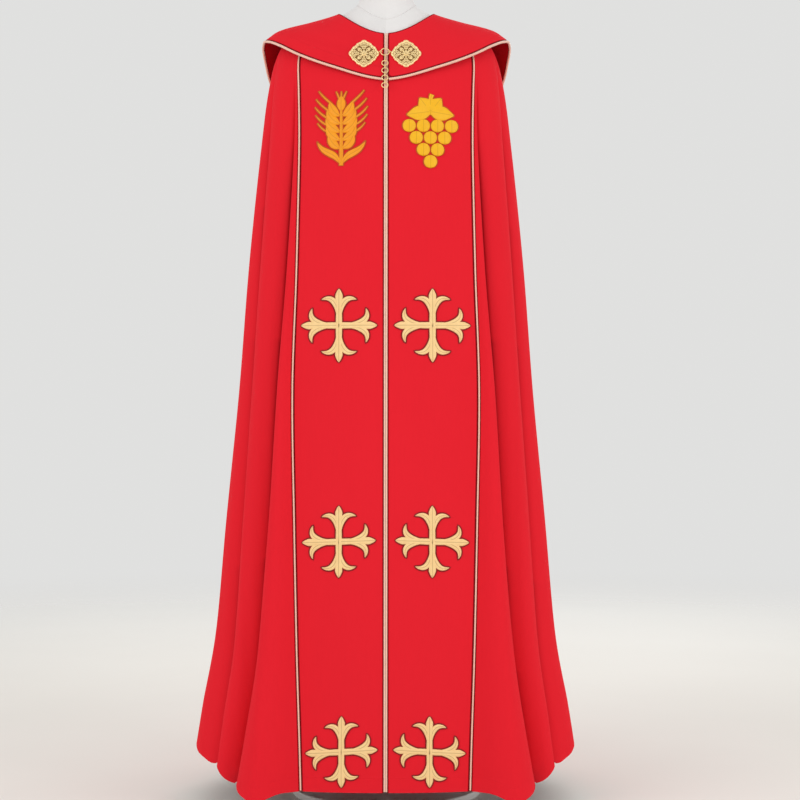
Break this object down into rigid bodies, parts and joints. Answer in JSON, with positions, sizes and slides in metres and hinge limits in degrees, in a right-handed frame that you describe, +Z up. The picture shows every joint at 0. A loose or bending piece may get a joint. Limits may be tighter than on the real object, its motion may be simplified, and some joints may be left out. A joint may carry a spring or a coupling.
{
  "type": "cope vestment on dress form",
  "caption": "Long red cope with a wide cape collar, gold cords, embroidered crosses and a chained clasp, hung from the shoulders of a white dress form on a round-footed stand.",
  "frame": {"origin": "middle of the stand's foot, on the floor", "axes": "+Z up, the cope's front faces -Y, +X is to the right of someone who looks at its front"},
  "size_m": [0.7551, 0.6383, 1.662],
  "materials": {
    "red_cloth": "plain woven red cloth, matt with a slight sheen",
    "gold_cord": "twisted gold cord",
    "cross_gold": "raised gold thread embroidery",
    "amber_thread": "amber satin stitch",
    "yellow_thread": "yellow satin stitch",
    "clasp_brass": "polished cast brass",
    "form_jersey": "white stretched jersey over a padded shell",
    "stand_enamel": "satin white enamel"
  },
  "bodies": {
    "root": {"mantle_left": "red_cloth", "mantle_right": "red_cloth", "band_left": "red_cloth", "band_right": "red_cloth", "collar": "red_cloth", "edge_cord_left": "gold_cord", "edge_cord_right": "gold_cord", "seam_cord_left": "gold_cord", "seam_cord_right": "gold_cord", "collar_cord": "gold_cord", "cross_upper_left": "cross_gold", "cross_upper_right": "cross_gold", "cross_middle_left": "cross_gold", "cross_middle_right": "cross_gold", "cross_lower_left": "cross_gold", "cross_lower_right": "cross_gold", "badge_wheat": "amber_thread", "badge_grapes": "yellow_thread", "clasp_plate_left": "clasp_brass", "clasp_plate_right": "clasp_brass", "clasp_eye_left": "clasp_brass", "clasp_eye_right": "clasp_brass", "clasp_ring": "clasp_brass", "dress_form": "form_jersey", "stand_foot": "stand_enamel", "stand_pole": "stand_enamel"},
    "chain": {"chain_link_1": "clasp_brass", "chain_ring_1": "clasp_brass", "chain_link_2": "clasp_brass", "chain_ring_2": "clasp_brass", "chain_link_3": "clasp_brass", "chain_ring_3": "clasp_brass", "chain_link_4": "clasp_brass", "chain_ring_4": "clasp_brass"}
  },
  "joints": [
    {"name": "chain_swing", "type": "hinge", "parent": "root", "child": "chain", "pos_m": [-0.002, -0.12782, 1.46531], "axis": [-1, 0, 0], "range_deg": [0, 70]}
  ]
}
